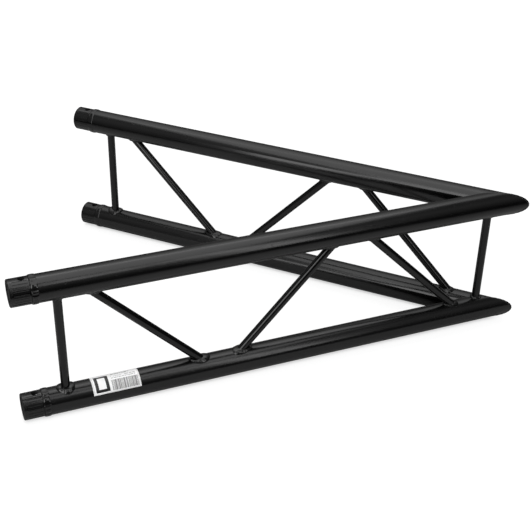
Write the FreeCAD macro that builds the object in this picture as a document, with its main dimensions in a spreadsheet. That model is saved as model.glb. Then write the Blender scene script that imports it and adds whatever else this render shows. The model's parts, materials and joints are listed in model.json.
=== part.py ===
import FreeCAD, Part
import math
import os

import Sketcher

# Two-way corner of ladder truss: two upright ladders of tube meet at an acute angle.
#
# Frame: +Z up, z = 0 where the lowest weld beads stand. The part is symmetric about the XZ plane,
# the corner points along +X, the front ladder leads away towards -X -Y and the rear ladder towards
# -X +Y. The origin is in the middle of the part's outline, on the ground.
#
# A ladder's own frame has X along its tubes, from the corner outwards, and Z up, and its XZ plane
# holds all its tube axes. All lengths are millimetres and all angles degrees.

SHEET = "Sizes"
SIZES = [
    ("corner_angle", 45, "angle between the two ladders, seen from above"),
    ("leg_length", 1000, "outer edge of a ladder, from the tip of the corner to the open end"),
    ("chord_pitch", 240, "height from the axis of the bottom tube to that of the top tube"),
    ("chord_diameter", 50, "main tube, outside"),
    ("chord_wall", 2, "main tube, wall"),
    ("brace_diameter", 16, "post and diagonal, outside"),
    ("brace_wall", 2, "post and diagonal, wall"),
    ("end_post_inset", 80, "open end to the axis of the end post"),
    ("node_gap", 36, "between neighbouring brace axes where they meet a main tube's axis"),
    ("outer_run", 240, "outer diagonal, run along the ladder"),
    ("inner_run", 242, "inner diagonal, run along the ladder"),
    ("corner_foot", 47, "corner to the foot of the inner diagonal, both on the tube axis"),
    ("corner_post_inset", 12, "corner to the axis of the corner post"),
    ("receiver_length", 42, "receiver, part outside the main tube"),
    ("receiver_step", 0.5, "receiver's outside lies this far below the main tube's"),
    ("mouth_chamfer", 1.2, "chamfer round the receiver's mouth"),
    ("spigot_length", 28, "receiver, part inside the main tube"),
    ("spigot_clearance", 0.1, "gap all round between spigot and main tube"),
    ("spigot_chamfer", 1, "lead-in chamfer of the spigot"),
    ("neck_length", 6, "turned-down neck beside the weld"),
    ("neck_depth", 0.8, "depth of the neck"),
    ("socket_mouth", 36, "conical socket, diameter at the mouth"),
    ("socket_throat", 29, "conical socket, diameter at its narrow end and behind it"),
    ("socket_depth", 48, "length of the cone"),
    ("pin_hole", 12, "cross hole for the coupler pin"),
    ("pin_inset", 24, "mouth to the axis of the pin hole"),
    ("ring_inset", 3, "mouth to the first turned ring"),
    ("ring_pitch", 1.8, "from ring to ring"),
    ("ring_width", 0.7, "width of a turned ring"),
    ("ring_depth", 0.3, "depth of a turned ring"),
    ("ring_count", 2, "number of turned rings"),
    ("flute_inset", 7, "mouth to the near end of the flutes"),
    ("flute_length", 26, "length of the flutes"),
    ("flute_width", 1.2, "width of a flute"),
    ("flute_depth", 0.5, "depth of a flute"),
    ("flute_count", 24, "number of flutes round the receiver"),
    ("bead_width", 12, "weld round the receiver joint, width"),
    ("bead_crown", 1.2, "weld round the receiver joint, height above the main tube"),
    ("seam_crown", 0.5, "corner weld, height above the main tubes"),
    ("seam_radius", 2, "corner weld, radius of its round section"),
    ("fillet_reach", 4, "brace weld, width along the main tube"),
    ("puddle_reach", 9, "weld at the foot of the end post, width along the main tube"),
    ("fillet_rise", 4, "brace weld, height along the brace"),
    ("label_inset", 125, "open end to the label"),
    ("label_length", 88, "label, length along the tube"),
    ("label_thickness", 0.2, "label, thickness"),
    ("label_outer_angle", 72, "label, from the tube's crest round the outer side"),
    ("label_inner_angle", 65, "label, from the tube's crest round the inner side"),
]

# Every cutter reaches past what it cuts by this share of its own size.
OVERCUT = 1.2

SIDES = {"front": 1, "rear": -1}

# Places and radii worked out from the sheet.
HALF_ANGLE = f"({SHEET}.corner_angle / 2)"
CHORD_RADIUS = f"({SHEET}.chord_diameter / 2)"
CHORD_BORE_RADIUS = f"({CHORD_RADIUS} - {SHEET}.chord_wall)"
BRACE_RADIUS = f"({SHEET}.brace_diameter / 2)"
RECEIVER_RADIUS = f"({CHORD_RADIUS} - {SHEET}.receiver_step)"
NECK_RADIUS = f"({RECEIVER_RADIUS} - {SHEET}.neck_depth)"
SPIGOT_RADIUS = f"({CHORD_BORE_RADIUS} - {SHEET}.spigot_clearance)"
CROWN_RADIUS = f"({CHORD_RADIUS} + {SHEET}.bead_crown)"
SEAM_RADIUS = f"({CHORD_RADIUS} + {SHEET}.seam_crown)"
SLEEVE_RADIUS = f"({CHORD_RADIUS} + {SHEET}.fillet_rise)"
MITRE_REACH = f"({CHORD_RADIUS} / tan({HALF_ANGLE}))"
AXIS_LENGTH = f"({SHEET}.leg_length - {MITRE_REACH})"
JOINT_PLACE = f"({AXIS_LENGTH} - {SHEET}.receiver_length)"
LOW_AXIS = CROWN_RADIUS
HIGH_AXIS = f"({LOW_AXIS} + {SHEET}.chord_pitch)"
LEVELS = {"top": HIGH_AXIS, "bottom": LOW_AXIS}

# The corner stands this far along +X, so that the outline is centred on the origin.
NOSE_REACH = f"({CHORD_RADIUS} / sin({HALF_ANGLE}) + {SHEET}.seam_crown)"
MOUTH_REACH = (
    f"({AXIS_LENGTH} * cos({HALF_ANGLE})"
    f" + ({RECEIVER_RADIUS} - {SHEET}.mouth_chamfer) * sin({HALF_ANGLE}))"
)
CORNER_X = f"(({MOUTH_REACH} - {NOSE_REACH}) / 2)"

# Where each brace meets the axes of the bottom tube and the top tube, from the corner outwards.
POST_PLACE = f"({AXIS_LENGTH} - {SHEET}.end_post_inset)"
OUTER_TOP = f"({POST_PLACE} - {SHEET}.node_gap)"
OUTER_FOOT = f"({OUTER_TOP} - {SHEET}.outer_run)"
MIDDLE_FOOT = f"({OUTER_FOOT} - {SHEET}.node_gap)"
INNER_FOOT = f"{SHEET}.corner_foot"
INNER_TOP = f"({INNER_FOOT} + {SHEET}.inner_run)"
MIDDLE_TOP = f"({INNER_TOP} + {SHEET}.node_gap)"
WELD_REACH = {("end_post", "bottom"): f"{SHEET}.puddle_reach"}
BRACES = {
    "end_post": (POST_PLACE, POST_PLACE),
    "outer_diagonal": (OUTER_FOOT, OUTER_TOP),
    "middle_diagonal": (MIDDLE_FOOT, MIDDLE_TOP),
    "inner_diagonal": (INNER_FOOT, INNER_TOP),
}

X_AXIS = FreeCAD.Vector(1, 0, 0)
Y_AXIS = FreeCAD.Vector(0, 1, 0)
Z_AXIS = FreeCAD.Vector(0, 0, 1)


def fill_sheet(doc):
    """Put every driving size in the sheet, with its alias and its meaning."""
    sheet = doc.addObject("Spreadsheet::Sheet", SHEET)
    for row, (alias, value, meaning) in enumerate(SIZES, start=1):
        sheet.set(f"A{row}", meaning)
        sheet.set(f"B{row}", str(value))
        sheet.setAlias(f"B{row}", alias)
    doc.recompute()
    return sheet


def bind(item, expressions):
    """Bind properties of an object to expressions."""
    for path, expression in expressions.items():
        item.setExpression(path, expression)


def place(item, x="0", y="0", z="0", axis=Z_AXIS, angle="0"):
    """Bind an object's place and its turn about a fixed axis."""
    item.Placement = FreeCAD.Placement(FreeCAD.Vector(), FreeCAD.Rotation(axis, 1))
    bind(item, {
        "Placement.Base.x": x,
        "Placement.Base.y": y,
        "Placement.Base.z": z,
        "Placement.Rotation.Angle": angle,
    })


def place_on_ladder(item, side, along="0", height="0"):
    """Carry an object modelled in a ladder's frame to its place on the front or rear ladder."""
    turn = SIDES[side]
    place(
        item,
        x=f"{CORNER_X} - {along} * cos({HALF_ANGLE})",
        y=f"{-turn} * {along} * sin({HALF_ANGLE})",
        z=height,
        angle=f"180 + {turn} * {HALF_ANGLE}",
    )


def origin_feature(body, role):
    """Return one of a body's own origin planes or axes."""
    return next(item for item in body.Origin.OriginFeatures if item.Role == role)


def new_body(doc, name):
    """Make an empty body."""
    body = doc.addObject("PartDesign::Body", name)
    body.Label = name
    return body


def new_sketch(body, name, plane, offset=None):
    """Make a sketch on one of the body's origin planes, lifted off it by an expression."""
    sketch = body.newObject("Sketcher::SketchObject", name)
    sketch.AttachmentSupport = (origin_feature(body, plane), [""])
    sketch.MapMode = "FlatFace"
    if offset:
        sketch.setExpression("AttachmentOffset.Base.z", offset)
    return sketch


def pin_value(sketch, constraint, name, expression):
    """Add a dimension to a sketch and bind it to an expression."""
    index = sketch.addConstraint(constraint)
    sketch.renameConstraint(index, name)
    sketch.setExpression(f"Constraints.{name}", expression)


def number(item, expression):
    """Evaluate an expression to a plain number."""
    value = item.evalExpression(expression)
    return getattr(value, "Value", value)


def pin_point(sketch, geometry, point, name, x, y):
    """Hold a sketch point at the coordinates that two expressions give."""
    across = Sketcher.Constraint("DistanceX", -1, 1, geometry, point, number(sketch, x))
    up = Sketcher.Constraint("DistanceY", -1, 1, geometry, point, number(sketch, y))
    pin_value(sketch, across, f"{name}_x", x)
    pin_value(sketch, up, f"{name}_y", y)


def draw_polygon(sketch, points):
    """Draw a closed outline of straight lines through points given as pairs of expressions."""
    corners = [FreeCAD.Vector(number(sketch, x), number(sketch, y), 0) for x, y in points]
    count = len(corners)
    for index in range(count):
        sketch.addGeometry(Part.LineSegment(corners[index], corners[(index + 1) % count]))
    for index in range(count):
        sketch.addConstraint(Sketcher.Constraint("Coincident", index, 2, (index + 1) % count, 1))
    for index, (x, y) in enumerate(points):
        pin_point(sketch, index, 1, f"corner{index}", x, y)


def draw_circle(sketch, name, radius, x="0", y="0"):
    """Draw a circle whose centre and radius come from expressions."""
    centre = FreeCAD.Vector(number(sketch, x), number(sketch, y), 0)
    index = sketch.addGeometry(Part.Circle(centre, FreeCAD.Vector(0, 0, 1), number(sketch, radius)))
    if x == "0" and y == "0":
        sketch.addConstraint(Sketcher.Constraint("Coincident", index, 3, -1, 1))
    else:
        pin_point(sketch, index, 3, f"{name}_centre", x, y)
    pin_value(sketch, Sketcher.Constraint("Radius", index, number(sketch, radius)), name, radius)


def add_pad(body, name, sketch, length):
    """Pad a sketch along its normal."""
    pad = body.newObject("PartDesign::Pad", name)
    pad.Profile = sketch
    bind(pad, {"Length": length})
    return pad


def add_cut_through(body, name, sketch):
    """Cut a sketch right through the body, both ways."""
    pocket = body.newObject("PartDesign::Pocket", name)
    pocket.Profile = sketch
    pocket.Type = "ThroughAll"
    pocket.SideType = "Symmetric"
    return pocket


def mitred_bar(doc, name, side, radius, bore=None):
    """Make a round bar or tube in the ladder's frame, cut at the corner on the plane of symmetry."""
    body = new_body(doc, name)
    start = f"{OVERCUT} * {MITRE_REACH} * {radius} / {CHORD_RADIUS}"
    section = new_sketch(body, f"{name}_section", "YZ_Plane", offset=f"-{start}")
    draw_circle(section, "outside", radius)
    if bore:
        draw_circle(section, "bore", bore)
    add_pad(body, f"{name}_bar", section, f"{JOINT_PLACE} + {start}")

    mitre = new_sketch(body, f"{name}_mitre", "XY_Plane")
    reach = f"{OVERCUT} * {start}"
    inner = f"{-SIDES[side]} * {reach} * tan({HALF_ANGLE})"
    outer = f"{SIDES[side]} * {reach} * tan({HALF_ANGLE})"
    draw_polygon(mitre, [(f"-{reach}", outer), (f"-{reach}", inner), (reach, inner)])
    body.Tip = add_cut_through(body, f"{name}_mitre_cut", mitre)
    return body


def make_chord(doc, name, side, level):
    """Make one main tube, from the mitre to the shoulder of its receiver."""
    chord = mitred_bar(doc, name, side, CHORD_RADIUS, CHORD_BORE_RADIUS)
    place_on_ladder(chord, side, height=LEVELS[level])
    return chord


def add_revolution(body, name, sketch, kind="PartDesign::Revolution"):
    """Turn a sketch all the way round the body's X axis, as metal or as a groove."""
    turned = body.newObject(kind, name)
    turned.Profile = sketch
    turned.ReferenceAxis = (origin_feature(body, "X_Axis"), [""])
    turned.Angle = 360
    return turned


def add_turned_rings(body, name):
    """Cut the fine rings beside the receiver's mouth."""
    sketch = new_sketch(body, f"{name}_ring_section", "XZ_Plane")
    near = f"-{SHEET}.ring_inset"
    far = f"-({SHEET}.ring_inset + {SHEET}.ring_width)"
    floor = f"({RECEIVER_RADIUS} - {SHEET}.ring_depth)"
    above = f"({RECEIVER_RADIUS} + {SHEET}.ring_depth)"
    draw_polygon(sketch, [(far, floor), (near, floor), (near, above), (far, above)])
    ring = add_revolution(body, f"{name}_ring", sketch, "PartDesign::Groove")
    pattern = body.newObject("PartDesign::LinearPattern", f"{name}_rings")
    pattern.Originals = [ring]
    pattern.Direction = (origin_feature(body, "X_Axis"), [""])
    pattern.Reversed = True
    bind(pattern, {
        "Length": f"{SHEET}.ring_pitch * ({SHEET}.ring_count - 1)",
        "Occurrences": f"{SHEET}.ring_count",
    })
    body.Tip = pattern


def add_flutes(body, name):
    """Cut the fine lengthwise flutes all round the receiver."""
    sketch = new_sketch(body, f"{name}_flute_section", "XZ_Plane")
    near = f"-{SHEET}.flute_inset"
    far = f"-({SHEET}.flute_inset + {SHEET}.flute_length)"
    floor = f"({RECEIVER_RADIUS} - {SHEET}.flute_depth)"
    above = f"({RECEIVER_RADIUS} + {SHEET}.flute_depth)"
    draw_polygon(sketch, [(far, floor), (near, floor), (near, above), (far, above)])
    flute = body.newObject("PartDesign::Pocket", f"{name}_flute")
    flute.Profile = sketch
    flute.Type = "Length"
    flute.SideType = "Symmetric"
    bind(flute, {"Length": f"{SHEET}.flute_width"})
    pattern = body.newObject("PartDesign::PolarPattern", f"{name}_flutes")
    pattern.Originals = [flute]
    pattern.Axis = (origin_feature(body, "X_Axis"), [""])
    pattern.Angle = 360
    bind(pattern, {"Occurrences": f"{SHEET}.flute_count"})
    body.Tip = pattern


def make_receiver(doc, name, side, level):
    """Make one receiver: a turned sleeve with a conical socket, its mouth at the body's origin."""
    body = new_body(doc, name)
    profile = new_sketch(body, f"{name}_profile", "XZ_Plane")
    shoulder = f"-{SHEET}.receiver_length"
    neck = f"-({SHEET}.receiver_length - {SHEET}.neck_length)"
    tail = f"-({SHEET}.receiver_length + {SHEET}.spigot_length)"
    draw_polygon(profile, [
        ("0", f"{SHEET}.socket_mouth / 2"),
        ("0", f"{RECEIVER_RADIUS} - {SHEET}.mouth_chamfer"),
        (f"-{SHEET}.mouth_chamfer", RECEIVER_RADIUS),
        (f"{neck} + {SHEET}.neck_depth", RECEIVER_RADIUS),
        (neck, NECK_RADIUS),
        (shoulder, NECK_RADIUS),
        (shoulder, SPIGOT_RADIUS),
        (f"{tail} + {SHEET}.spigot_chamfer", SPIGOT_RADIUS),
        (tail, f"{SPIGOT_RADIUS} - {SHEET}.spigot_chamfer"),
        (tail, f"{SHEET}.socket_throat / 2"),
        (f"-{SHEET}.socket_depth", f"{SHEET}.socket_throat / 2"),
    ])
    add_revolution(body, f"{name}_turned", profile)
    add_turned_rings(body, name)
    add_flutes(body, name)

    hole = new_sketch(body, f"{name}_pin_hole", "XY_Plane")
    draw_circle(hole, "hole", f"{SHEET}.pin_hole / 2", x=f"-{SHEET}.pin_inset")
    body.Tip = add_cut_through(body, f"{name}_pin_cut", hole)
    place_on_ladder(body, side, along=AXIS_LENGTH, height=LEVELS[level])
    return body


def draw_bead(sketch, outline, crest):
    """Draw a closed outline whose last and first points are joined by an arc over the crest."""
    spots = [FreeCAD.Vector(number(sketch, x), number(sketch, y), 0) for x, y in outline]
    top = FreeCAD.Vector(number(sketch, crest[0]), number(sketch, crest[1]), 0)
    for index in range(len(spots) - 1):
        sketch.addGeometry(Part.LineSegment(spots[index], spots[index + 1]))
        pin_point(sketch, index, 1, f"corner{index}", *outline[index])
    last = len(spots) - 2
    pin_point(sketch, last, 2, "toe", *outline[-1])
    for index in range(last):
        sketch.addConstraint(Sketcher.Constraint("Coincident", index, 2, index + 1, 1))
    crown = sketch.addGeometry(Part.Arc(spots[-1], top, spots[0]))
    west, east = sorted((1, 2), key=lambda end: sketch.getPoint(crown, end).x)
    sketch.addConstraint(Sketcher.Constraint("Coincident", crown, west, last, 2))
    sketch.addConstraint(Sketcher.Constraint("Coincident", crown, east, 0, 1))
    mark = sketch.addGeometry(Part.Point(top), True)
    pin_point(sketch, mark, 1, "crest", *crest)
    sketch.addConstraint(Sketcher.Constraint("PointOnObject", mark, 1, crown))


def make_receiver_weld(doc, name, side, level):
    """Make the ring of weld over the joint of tube and receiver, the joint at the body's origin."""
    body = new_body(doc, name)
    sketch = new_sketch(body, f"{name}_section", "XZ_Plane")
    half_width = f"({SHEET}.bead_width / 2)"
    outline = [
        (half_width, CHORD_RADIUS),
        (half_width, NECK_RADIUS),
        ("0", NECK_RADIUS),
        ("0", CHORD_RADIUS),
        (f"-{half_width}", CHORD_RADIUS),
    ]
    draw_bead(sketch, outline, ("0", CROWN_RADIUS))
    add_revolution(body, f"{name}_ring", sketch)
    place_on_ladder(body, side, along=JOINT_PLACE, height=LEVELS[level])
    return body


def rim_point(angle, radius):
    """Return the point of a section at an angle and a radius, as a pair of expressions."""
    return f"{radius} * cos({angle})", f"{radius} * sin({angle})"


def draw_sector(sketch, inside, outside, start, end):
    """Draw a closed strip between two radii, from one angle to another."""
    turns = [math.radians(number(sketch, angle)) for angle in (start, end)]
    for index, radius in enumerate((inside, outside)):
        circle = Part.Circle(FreeCAD.Vector(), Z_AXIS, number(sketch, radius))
        sketch.addGeometry(Part.ArcOfCircle(circle, *turns))
        sketch.addConstraint(Sketcher.Constraint("Coincident", index, 3, -1, 1))
        pin_point(sketch, index, 1, f"start{index}", *rim_point(start, radius))
        across, _ = rim_point(end, radius)
        width = Sketcher.Constraint("DistanceX", -1, 1, index, 2, number(sketch, across))
        pin_value(sketch, width, f"end{index}", across)
    for point, angle in ((1, start), (2, end)):
        ends = []
        for radius in (inside, outside):
            x, y = rim_point(angle, radius)
            ends.append(FreeCAD.Vector(number(sketch, x), number(sketch, y), 0))
        line = sketch.addGeometry(Part.LineSegment(*ends))
        sketch.addConstraint(Sketcher.Constraint("Coincident", line, 1, 0, point))
        sketch.addConstraint(Sketcher.Constraint("Coincident", line, 2, 1, point))


def make_label(doc, name, side):
    """Make the thin sticker that wraps over the top of a bottom tube."""
    body = new_body(doc, name)
    sketch = new_sketch(body, f"{name}_section", "YZ_Plane")
    outside = f"({CHORD_RADIUS} + {SHEET}.label_thickness)"
    edges = [
        f"(90 - {SIDES[side]} * {SHEET}.label_outer_angle)",
        f"(90 + {SIDES[side]} * {SHEET}.label_inner_angle)",
    ]
    start, end = sorted(edges, key=lambda edge: number(sketch, edge))
    draw_sector(sketch, CHORD_RADIUS, outside, start, end)
    add_pad(body, f"{name}_sheet", sketch, f"{SHEET}.label_length")
    along = f"({AXIS_LENGTH} - {SHEET}.label_inset - {SHEET}.label_length)"
    place_on_ladder(body, side, along=along, height=LOW_AXIS)
    return body


def make_cylinder(doc, name, radius, length, x="0", z="0", axis=Z_AXIS, angle="0"):
    """Make a helper cylinder that stands on (x, 0, z) and leans by an angle about an axis."""
    cylinder = doc.addObject("Part::Cylinder", name)
    bind(cylinder, {"Radius": radius, "Height": length})
    place(cylinder, x=x, z=z, axis=axis, angle=angle)
    return cylinder


def make_cut(doc, name, base, tools):
    """Cut several tools from a base, one after another."""
    for index, tool in enumerate(tools, start=1):
        last = index == len(tools)
        cut = doc.addObject("Part::Cut", name if last else f"{name}_cut{index}")
        cut.Refine = False
        cut.Base = base
        cut.Tool = tool
        base = cut
    base.Label = name
    return base


def make_collar(doc, name, shapes, tools):
    """Make a brace's weld: what the shapes have in common, cut clear of the tubes."""
    common = doc.addObject("Part::MultiCommon", f"{name}_ring")
    common.Shapes = shapes
    return make_cut(doc, name, common, tools)


def make_braces(doc, side):
    """Make one ladder's post and diagonals with the welds at their ends."""
    nodes = []
    cores = {}
    sleeves = {}
    for level, height in LEVELS.items():
        for group, radius, kind in (
            (cores, CHORD_RADIUS, "core"),
            (sleeves, SLEEVE_RADIUS, "sleeve"),
        ):
            group[level] = make_cylinder(
                doc, f"{side}_{level}_{kind}", radius, AXIS_LENGTH, z=height, axis=Y_AXIS, angle="90"
            )
    for brace, (foot, head) in BRACES.items():
        name = f"{side}_{brace}"
        run = f"({head} - {foot})"
        lean = {
            "length": f"sqrt({run} ^ 2 + {SHEET}.chord_pitch ^ 2)",
            "x": foot,
            "z": LOW_AXIS,
            "axis": Y_AXIS,
            "angle": f"atan({run} / {SHEET}.chord_pitch)",
        }
        outside = make_cylinder(doc, f"{name}_outside", BRACE_RADIUS, **lean)
        bore = make_cylinder(doc, f"{name}_bore", f"{BRACE_RADIUS} - {SHEET}.brace_wall", **lean)
        nodes.append(make_cut(doc, name, outside, [bore, *cores.values()]))
        for level in LEVELS:
            reach = WELD_REACH.get((brace, level), f"{SHEET}.fillet_reach")
            collar = make_cylinder(doc, f"{name}_{level}_collar", f"{BRACE_RADIUS} + {reach}", **lean)
            weld = make_collar(
                doc, f"{name}_{level}_weld", [collar, sleeves[level]], [cores[level], outside]
            )
            nodes.append(weld)
    for node in nodes:
        place_on_ladder(node, side)
    return nodes


def corner_bars(doc, level, height, kind, radius):
    """Make a round bar for each ladder, mitred, with the corner of the truss at x = 0."""
    bars = []
    for side, turn in SIDES.items():
        bar = mitred_bar(doc, f"corner_{side}_{level}_{kind}", side, radius)
        place(bar, z=height, angle=f"180 + {turn} * {HALF_ANGLE}")
        bars.append(bar)
    return bars


def make_corner(doc):
    """Make the corner post with its two welds, and the welds along the two mitres."""
    nodes = []
    upright = {"length": f"{SHEET}.chord_pitch", "x": f"-{SHEET}.corner_post_inset", "z": LOW_AXIS}
    outside = make_cylinder(doc, "corner_post_outside", BRACE_RADIUS, **upright)
    bore = make_cylinder(doc, "corner_post_bore", f"{BRACE_RADIUS} - {SHEET}.brace_wall", **upright)
    reach = f"{BRACE_RADIUS} + {SHEET}.fillet_reach"
    collar = make_cylinder(doc, "corner_post_collar", reach, **upright)
    all_cores = []
    for level, height in LEVELS.items():
        cores = corner_bars(doc, level, height, "core", CHORD_RADIUS)
        sleeves = doc.addObject("Part::MultiFuse", f"corner_{level}_sleeves")
        sleeves.Shapes = corner_bars(doc, level, height, "sleeve", SLEEVE_RADIUS)
        weld = make_collar(doc, f"corner_post_{level}_weld", [collar, sleeves], [outside, *cores])
        seam = make_cut(doc, f"{level}_corner_weld", make_seam(doc, level, height), [*cores, collar])
        nodes += [weld, seam]
        all_cores += cores
    nodes.append(make_cut(doc, "corner_post", outside, [bore, *all_cores]))
    for node in nodes:
        place(node, x=CORNER_X)
    return nodes


def make_seam(doc, level, height):
    """Sweep the corner weld's round section along the ellipse where the two tubes meet."""
    seam = doc.addObject("Part::Ellipse", f"{level}_seam")
    long_radius = f"{NOSE_REACH} - {SHEET}.seam_radius"
    bind(seam, {
        "MajorRadius": long_radius,
        "MinorRadius": f"{SEAM_RADIUS} - {SHEET}.seam_radius",
    })
    place(seam, z=height, axis=X_AXIS, angle="90")
    section = doc.addObject("Part::Circle", f"{level}_seam_section")
    bind(section, {"Radius": f"{SHEET}.seam_radius"})
    place(section, x=long_radius, z=height)
    sweep = doc.addObject("Part::Sweep", f"{level}_seam_sweep")
    sweep.Sections = [section]
    sweep.Spine = (seam, ["Edge1"])
    sweep.Solid = True
    sweep.Frenet = True
    return sweep


def build(doc):
    """Make every sub-part and return them."""
    fill_sheet(doc)
    nodes = []
    for side in SIDES:
        for level in LEVELS:
            nodes.append(make_chord(doc, f"{side}_{level}_chord", side, level))
            nodes.append(make_receiver(doc, f"{side}_{level}_receiver", side, level))
            nodes.append(make_receiver_weld(doc, f"{side}_{level}_receiver_weld", side, level))
        nodes += make_braces(doc, side)
    nodes += make_corner(doc)
    nodes.append(make_label(doc, "data_label", "front"))
    return nodes


def check(doc, nodes):
    """Stop unless every object was computed and every sub-part is one valid solid."""
    for item in doc.Objects:
        if "Invalid" in item.State or "Error" in item.State:
            raise RuntimeError(f"{item.Name} failed: {item.State}")
    for node in nodes:
        if node.Shape.isNull() or not node.Shape.isValid():
            raise RuntimeError(f"{node.Label} has no valid shape")
        if len(node.Shape.Solids) != 1:
            raise RuntimeError(f"{node.Label} has {len(node.Shape.Solids)} solids")


def main():
    """Build the document, check it and write one STEP file for each sub-part."""
    doc = FreeCAD.newDocument("TrussCorner")
    nodes = build(doc)
    doc.recompute()
    check(doc, nodes)
    os.makedirs("parts", exist_ok=True)
    for node in nodes:
        node.Shape.exportStep(f"parts/{node.Label}.step")
        print(f"{node.Label}: {node.Shape.Volume:.0f} mm3")


main()
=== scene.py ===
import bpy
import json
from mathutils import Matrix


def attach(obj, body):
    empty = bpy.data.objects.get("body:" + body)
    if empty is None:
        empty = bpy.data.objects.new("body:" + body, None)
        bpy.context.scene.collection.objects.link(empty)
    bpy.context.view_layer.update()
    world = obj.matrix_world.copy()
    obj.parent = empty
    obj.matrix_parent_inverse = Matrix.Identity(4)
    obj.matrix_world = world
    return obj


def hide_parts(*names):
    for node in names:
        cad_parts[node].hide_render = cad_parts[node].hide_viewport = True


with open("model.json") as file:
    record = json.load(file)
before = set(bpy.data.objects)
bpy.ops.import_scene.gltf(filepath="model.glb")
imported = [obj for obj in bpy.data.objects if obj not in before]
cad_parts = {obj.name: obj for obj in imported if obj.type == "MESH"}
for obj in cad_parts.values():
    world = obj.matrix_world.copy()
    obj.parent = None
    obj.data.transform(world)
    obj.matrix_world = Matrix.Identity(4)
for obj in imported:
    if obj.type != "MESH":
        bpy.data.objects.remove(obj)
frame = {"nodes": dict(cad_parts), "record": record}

"""Two-way corner of ladder truss in black powder coat, dressed for its studio picture."""

import json
import logging
import math
from dataclasses import dataclass, field
from enum import Enum
from typing import Callable

import bmesh
import bpy
from mathutils import Matrix, Vector

log = logging.getLogger("truss_corner")

MM = 0.001
TAU = 2 * math.pi

TUBE_RADIUS = 25.0 * MM
BRACE_RADIUS = 8.0 * MM
RECEIVER_LENGTH = 42.0 * MM

# A bead starts as a unit circle turned into a ring of this radius, and is then laid on its curve.
BEAD_RING = 5.0
# On a weld, only edges steeper than this angle in degrees stay sharp.
WELD_SHARP = 60.0

# The coat's darker black, as a share of its tone, and how much more blue both of its blacks have.
COAT_DARK = 0.8
COAT_BLUENESS = 0.05
# Roughness added where the coat is seen edge-on.
EDGE_HAZE = 0.4


class Side(Enum):
    """The two ladders of the corner."""

    FRONT = "front"
    REAR = "rear"


class Level(Enum):
    """The two main tubes of a ladder."""

    TOP = "top"
    BOTTOM = "bottom"


class Axis(Enum):
    """The axis that a bead's ring is turned about."""

    X = (1, 0, 0)
    Y = (0, 1, 0)


# --------------------------------------------------------------------------------------------------
# Where things are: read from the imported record
# --------------------------------------------------------------------------------------------------


def mount(name: str) -> tuple[Vector, Vector]:
    """Find a mount of the record.

    Args:
        name: the mount's name.

    Returns:
        Its place and its direction.
    """
    entry = next(item for item in frame["record"]["mounts"] if item["name"] == name)
    return Vector(entry["pos_m"]), Vector(entry["axis"]).normalized()


@dataclass
class LadderFrame:
    """A ladder's own frame: X from the corner outwards, Z up, the tube axes in its XZ plane."""

    side: Side
    corner: Vector = field(init=False)
    along: Vector = field(init=False)
    length: float = field(init=False)
    heights: dict[Level, float] = field(init=False)

    def __post_init__(self) -> None:
        """Work out the frame from the sockets at the ladder's open end."""
        mouths = {level: mount(f"{self.side.value}_{level.value}_socket") for level in Level}
        place, self.along = mouths[Level.TOP]
        self.length = abs(place.y / self.along.y)
        start = place - self.along * self.length
        self.corner = Vector((start.x, 0.0, 0.0))
        self.heights = {level: spot.z for level, (spot, _) in mouths.items()}

    @property
    def turn(self) -> float:
        """Angle from the row's X to the ladder's X, about Z."""
        return math.atan2(self.along.y, self.along.x)

    @property
    def half_angle(self) -> float:
        """Half of the angle between the two ladders."""
        return math.atan2(abs(self.along.y), -self.along.x)

    @property
    def outward(self) -> float:
        """Sign of the ladder's Y on the outer face of the corner."""
        return 1.0 if self.side is Side.FRONT else -1.0

    @property
    def matrix(self) -> Matrix:
        """Carry the ladder's frame to the row's frame."""
        return Matrix.Translation(self.corner) @ Matrix.Rotation(self.turn, 4, "Z")


# --------------------------------------------------------------------------------------------------
# Mesh helpers
# --------------------------------------------------------------------------------------------------


def spun_ring(points: list[tuple[float, float]], steps: int) -> bmesh.types.BMesh:
    """Turn a closed outline into a ring round the X axis.

    Args:
        points: the outline, as pairs of place along X and radius.
        steps: how many steps the turn takes.

    Returns:
        A new mesh of one closed ring.
    """
    mesh = bmesh.new()
    corners = [mesh.verts.new((along, 0.0, radius)) for along, radius in points]
    edges = [mesh.edges.new((corners[i - 1], corners[i])) for i in range(len(corners))]
    bmesh.ops.spin(
        mesh, geom=corners + edges, cent=(0, 0, 0), axis=(1, 0, 0), angle=TAU, steps=steps,
        use_merge=True, use_duplicate=False,
    )
    bmesh.ops.remove_doubles(mesh, verts=mesh.verts, dist=1e-7)
    return mesh


def bead_ring(sides: int, steps: int, axis: Axis) -> bmesh.types.BMesh:
    """Turn a unit circle into a closed ring, ready to be laid on a weld's curve.

    Args:
        sides: how many corners the circle has.
        steps: how many steps the turn takes.
        axis: what the circle is turned about.

    Returns:
        A new mesh of one closed ring.
    """
    if axis is Axis.X:
        place = Matrix.Translation((0, 0, BEAD_RING)) @ Matrix.Rotation(math.pi / 2, 4, "X")
    else:
        place = Matrix.Translation((BEAD_RING, 0, 0))
    mesh = bmesh.new()
    bmesh.ops.create_circle(mesh, cap_ends=False, radius=1.0, segments=sides, matrix=place)
    bmesh.ops.spin(
        mesh, geom=mesh.verts[:] + mesh.edges[:], cent=(0, 0, 0), axis=axis.value, angle=TAU,
        steps=steps, use_merge=True, use_duplicate=False,
    )
    return mesh


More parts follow.
